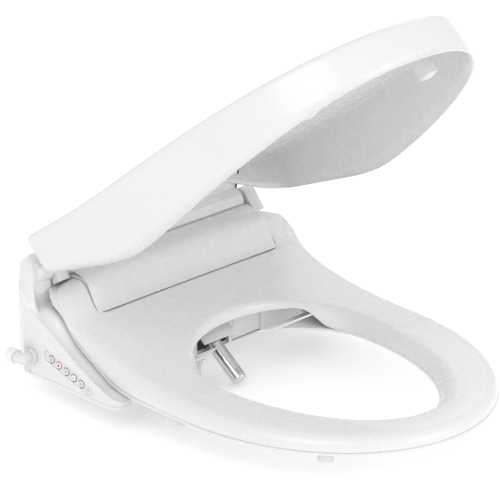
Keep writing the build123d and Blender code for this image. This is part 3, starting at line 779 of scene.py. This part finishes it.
def make_wing():
    bm = bmesh.new()
    sheet(bm, 18, 56, wing_place)
    skirt(bm, [e for e in free_edges(bm) if not on_wing_wall(e)], wing_wall_foot)
    obj = to_piece(bm, "wing_skin", "shell_white", "root", (), MM, radians(60))
    walled(obj, 0.8)
    smoothed(obj, 1)
    return obj


wing_skin = make_wing()
print("wing skin with", len(wing_skin.data.polygons), "control faces")

# %% [markdown]
# The lid's heel is the closed hollow bar that turns on the hinge shafts. Its front is a smooth wall up
# to the lid's inner face, with a soft rib along the top. An extruded outline would do for the outside,
# but the bore has steps for the shafts and the damper, so it is drawn as rings along X, out and back.

# %% Lid heel
DAMPER_END, SHAFT_BORE, DAMPER_BORE = 112.6, 6.6, 11.6
HEEL_PROFILE = ((0, -14.6), (-10.3, -10.3), (-14.6, -1), (-13.6, 6), (-13.2, 11), (-15.5, 12.6),
                (-20, 12.2), (-25.5, 15.5), (-29, 21), (-36, 26.5), (-44, 28.6), (-42, 30.6), (-24, 32.0),
                (-9, 21), (4.5, 14.2), (12.6, 8), (14.6, 0), (10.3, -10.3))


def ring_stack(bm, rings, count):
    """Closed surface through rings, each a function from a share of a turn to a point."""

    def place(u, v):
        return rings[round(v * (len(rings) - 1))](u % 1.0)

    sheet(bm, count, len(rings) - 1, place)
    bmesh.ops.remove_doubles(bm, verts=bm.verts, dist=1e-4)
    bmesh.ops.recalc_face_normals(bm, faces=bm.faces)


def heel_ring(x, bore=None):
    """A ring of the profile, or of the round bore with a corner under each of the profile's."""

    def point(share):
        y, z = HEEL_PROFILE[round(share * len(HEEL_PROFILE)) % len(HEEL_PROFILE)]
        spoke = Vector((0, y, z))
        return Vector((x, HINGE.y, HINGE.z)) + (spoke.normalized() * bore if bore else spoke)

    return point


def make_heel():
    bm = bmesh.new()
    outside = [heel_ring(x) for x in (-HEEL_HALF, -HEEL_HALF + 2, 0, HEEL_HALF - 2, HEEL_HALF)]
    half = ((HEEL_HALF, SHAFT_BORE), (DAMPER_END, SHAFT_BORE), (DAMPER_END, DAMPER_BORE))
    bore = [heel_ring(x, r) for x, r in half] + [heel_ring(-x, r) for x, r in reversed(half)]
    ring_stack(bm, outside + bore + outside[:1], len(HEEL_PROFILE))
    open_up(bm)
    nodes = ("lid_barrel", "lid_hinge_arms")
    obj = to_piece(bm, "lid_heel", "shell_white", "lid", nodes, MM, radians(50))
    softened(obj, 1.2, 14)
    return obj


lid_heel = make_heel()
print("lid heel with", len(lid_heel.data.polygons), "faces")

# %% [markdown]
# The control panel has five round buttons. Each sits in a printed ring, carries a simple generic mark
# and has a short printed dash below it. The second one is ringed in red. The prints could be painted in
# the shader, but thin inlays stay sharp at any distance, and they move with the caps.

# %% Panel prints
BUTTON_FIRST, BUTTON_STEP = Vector((-24.0, 31.0)), Vector((-12.4, -3.6))    # (y, z) on the panel
BUTTONS = ("stop", "rear_wash", "front_wash", "warm_air", "power")
ROW, ROW_ANGLE = BUTTON_STEP.normalized(), radians(16.2)
DASH_DROP = Vector((-ROW.y, ROW.x)) * 5.5       # from a button's middle to the dash below it
PANEL_FACE, CAP_FACE = -205.8, -207.0           # x of the panel's and the caps' front
RING_PRINT, DOT_PRINT, SMALL_RING_PRINT = (4.15, 4.85), (0.02, 1.5), (1.1, 1.7)     # radii
CAP_DASH, PANEL_DASH = (2.6, 0.7), (3.4, 0.55)  # length and width
INLAY = 0.12                                    # height of a print


def flat_ring(name, centre, radii, x, slot, body):
    """A thin printed ring, or a dot when the inner radius is tiny, on a wall that faces -X."""
    inner, outer = radii

    def ring(radius, depth):
        return lambda share: Vector((x + depth, centre.x + radius * cos(2 * pi * share),
                                     centre.y + radius * sin(2 * pi * share)))

    bm = bmesh.new()
    loop = [ring(inner, -INLAY), ring(outer, -INLAY), ring(outer, INLAY), ring(inner, INLAY)]
    ring_stack(bm, loop + loop[:1], 32)
    return to_piece(bm, name, slot, body, (), MM, radians(30))


def dash(name, centre, size, x, slot, body):
    bm = bmesh.new()
    bmesh.ops.create_cube(bm, size=1)
    bmesh.ops.scale(bm, vec=(2 * INLAY, *size), verts=bm.verts)
    bmesh.ops.rotate(bm, verts=bm.verts, cent=(0, 0, 0), matrix=Matrix.Rotation(ROW_ANGLE, 3, "X"))
    bmesh.ops.translate(bm, vec=(x, centre.x, centre.y), verts=bm.verts)
    return to_piece(bm, name, slot, body, (), MM, radians(30))


for index, name in enumerate(BUTTONS):
    centre = BUTTON_FIRST + BUTTON_STEP * index
    alert = name == "rear_wash"
    on_cap = (CAP_FACE, "print_grey", body_of["button_" + name])
    ring_slot = "print_red" if alert else "print_grey"
    flat_ring("ring_" + name, centre, RING_PRINT, PANEL_FACE, ring_slot, "root")
    if alert:
        flat_ring("mark_" + name, centre, DOT_PRINT, *on_cap)
    elif index % 2 == 0:
        flat_ring("mark_" + name, centre, SMALL_RING_PRINT, *on_cap)
    else:
        dash("mark_" + name, centre, CAP_DASH, *on_cap)
    dash("dash_" + name, centre + DASH_DROP, PANEL_DASH, PANEL_FACE, "print_grey", "root")
print(len(BUTTONS), "printed buttons")

# %% [markdown]
# The spray openings are two rows of small holes near the nozzle's tip, dark with the shade inside them. Cut
# holes would need a very fine mesh on the tube, so each is a thin disc of painted shade, set on the tube
# and then laid along its slope.

# %% Nozzle jets
NOZZLE_TIP, NOZZLE_RADIUS = Vector((-16.0, -133.6, -20.7)), 9.0
JET_ROWS, JET_COLUMNS = 2, 3
JET_RADIUS, JET_DEPTH, JET_FIRST, JET_STEP = 0.7, 0.3, 6.8, 2.4
JET_ANGLE = 14                                  # degrees to either side of the tube's top line


# Each jet is a thin near-black disc on the tube: painted shade where a spray hole would show dark.
def make_jet(name, angle, back):
    bm = bmesh.new()
    bmesh.ops.create_cone(bm, cap_ends=True, segments=20, radius1=JET_RADIUS, radius2=JET_RADIUS,
                          depth=JET_DEPTH)
    bmesh.ops.rotate(bm, verts=bm.verts, cent=(0, 0, 0), matrix=Matrix.Rotation(pi / 2, 3, "X"))
    bmesh.ops.translate(bm, vec=(0, NOZZLE_RADIUS, -back), verts=bm.verts)
    bmesh.ops.rotate(bm, verts=bm.verts, cent=(0, 0, 0), matrix=Matrix.Rotation(radians(angle), 3, "Z"))
    bmesh.ops.scale(bm, vec=(MM, MM, MM), verts=bm.verts)
    bmesh.ops.transform(bm, matrix=nozzle_turn, verts=bm.verts)
    return to_piece(bm, name, "jet_dark", "nozzle", (), 1.0, radians(30))


nozzle_turn = Matrix.Translation(NOZZLE_TIP * MM) @ Matrix.Rotation(pi / 2 + NOZZLE_SLOPE, 4, "X")
for index in range(JET_ROWS * JET_COLUMNS):
    row, column = divmod(index, JET_COLUMNS)
    make_jet(f"jet_{index + 1}", JET_ANGLE * (2 * row - 1), JET_FIRST + JET_STEP * column)
print(JET_ROWS * JET_COLUMNS, "jets")

# %% [markdown]
# The smaller fittings keep their shape from the frame, and only their edges are eased, as a mould does.
# A rounding shader would only look round, while a real bevel also rounds the outline. The widths differ,
# because a big soft casing has larger edges than a thin flap.

# %% Eased fittings
BUTTON_EASE = 0.45
EASED = {                                       # width of each node's rounding in mm
    "body_casing": 1.4, "base_tray": 0.8, "seat_bottom": 0.8, "bay_fascia": 0.5, "nozzle_gate": 0.35,
    "warm_air_door": 0.35, "inlet_collar": 0.8, "inlet_elbow": 0.5, "inlet_nut": 0.35,
    "seat_hinge_arms": 1.2, "lid_bumpers": 2.0, "seat_bumpers": 1.6, "panel_plate": 0.35,
    "power_inlet_gland": 0.6,
}
for node, width in EASED.items():
    made = eased(node, width)
    print(made.name, len(made.data.polygons))
for name in BUTTONS:
    eased("button_" + name, BUTTON_EASE, 3)
print(len(EASED) + len(BUTTONS), "fittings eased")
